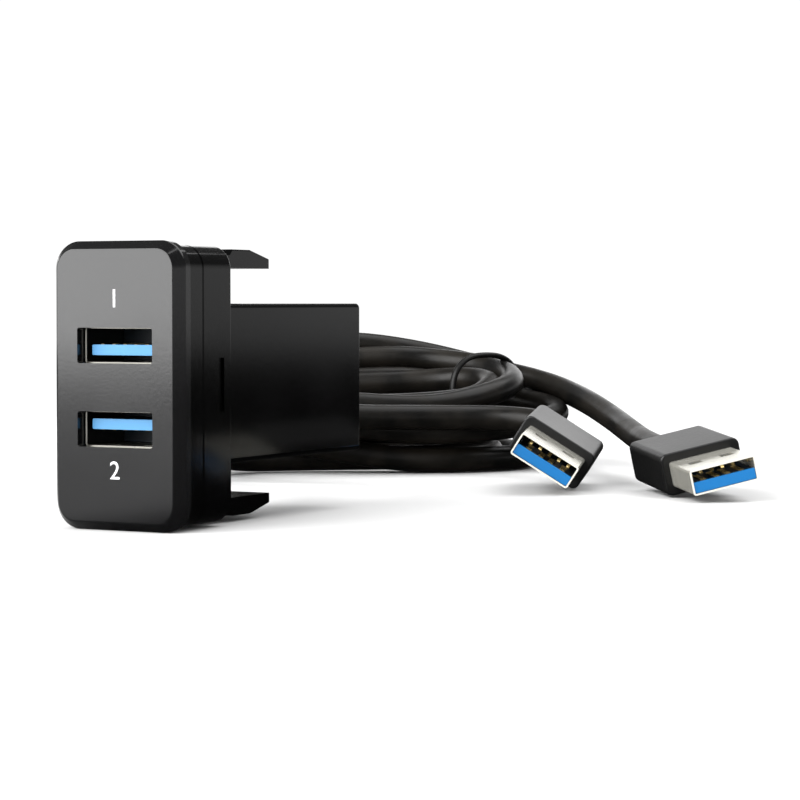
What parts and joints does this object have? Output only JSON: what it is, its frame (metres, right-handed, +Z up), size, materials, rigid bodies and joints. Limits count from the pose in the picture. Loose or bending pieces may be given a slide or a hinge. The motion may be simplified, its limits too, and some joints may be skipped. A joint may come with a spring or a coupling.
{
  "type": "panel usb adapter with cables",
  "caption": "Upright panel adapter with USB sockets in its face plate, spring clips behind it, and black leads in a tied hank, each ending in a USB-A plug.",
  "frame": {"origin": "under the middle of the adapter without its cables, on the surface that it stands on", "axes": "+Y from the face plate to the rear of the box, +X to the right seen from the front, +Z up"},
  "size_m": [0.1606, 0.1862, 0.044],
  "materials": {
    "plate_plastic": "satin dark moulded plastic",
    "body_plastic": "glossy black moulded plastic",
    "port_steel": "plain plated sheet steel",
    "port_blue": "bright blue moulded plastic",
    "contact_gold": "gold plated contacts",
    "mould_plastic": "plain black moulding",
    "boot_rubber": "soft matt black",
    "cable_jacket": "smooth semi-gloss black jacket",
    "tie_wire": "black coated wire",
    "grip_plastic": "satin black moulding",
    "plug_steel": "bright plated sheet steel",
    "plug_blue": "blue moulded plastic"
  },
  "bodies": {
    "root": {"face_plate": "plate_plastic", "front_collar": "body_plastic", "clip_frame": "body_plastic", "rear_box": "body_plastic", "port_1_shell": "port_steel", "port_1_contacts": "contact_gold", "port_1_insulator": "port_blue", "port_1_inner_mould": "mould_plastic", "port_1_inner_lead": "cable_jacket", "cable_boot_1": "boot_rubber", "cable_1_in": "cable_jacket", "cable_1_out": "cable_jacket", "cable_1_hank": "cable_jacket", "plug_1_grip": "grip_plastic", "plug_1_shell": "plug_steel", "plug_1_insert": "plug_blue", "plug_1_contacts": "contact_gold", "port_2_shell": "port_steel", "port_2_contacts": "contact_gold", "port_2_insulator": "port_blue", "port_2_inner_mould": "mould_plastic", "port_2_inner_lead": "cable_jacket", "cable_boot_2": "boot_rubber", "cable_2_in": "cable_jacket", "cable_2_out": "cable_jacket", "cable_2_hank": "cable_jacket", "plug_2_grip": "grip_plastic", "plug_2_shell": "plug_steel", "plug_2_insert": "plug_blue", "plug_2_contacts": "contact_gold", "wire_tie": "tie_wire"}
  },
  "joints": []
}
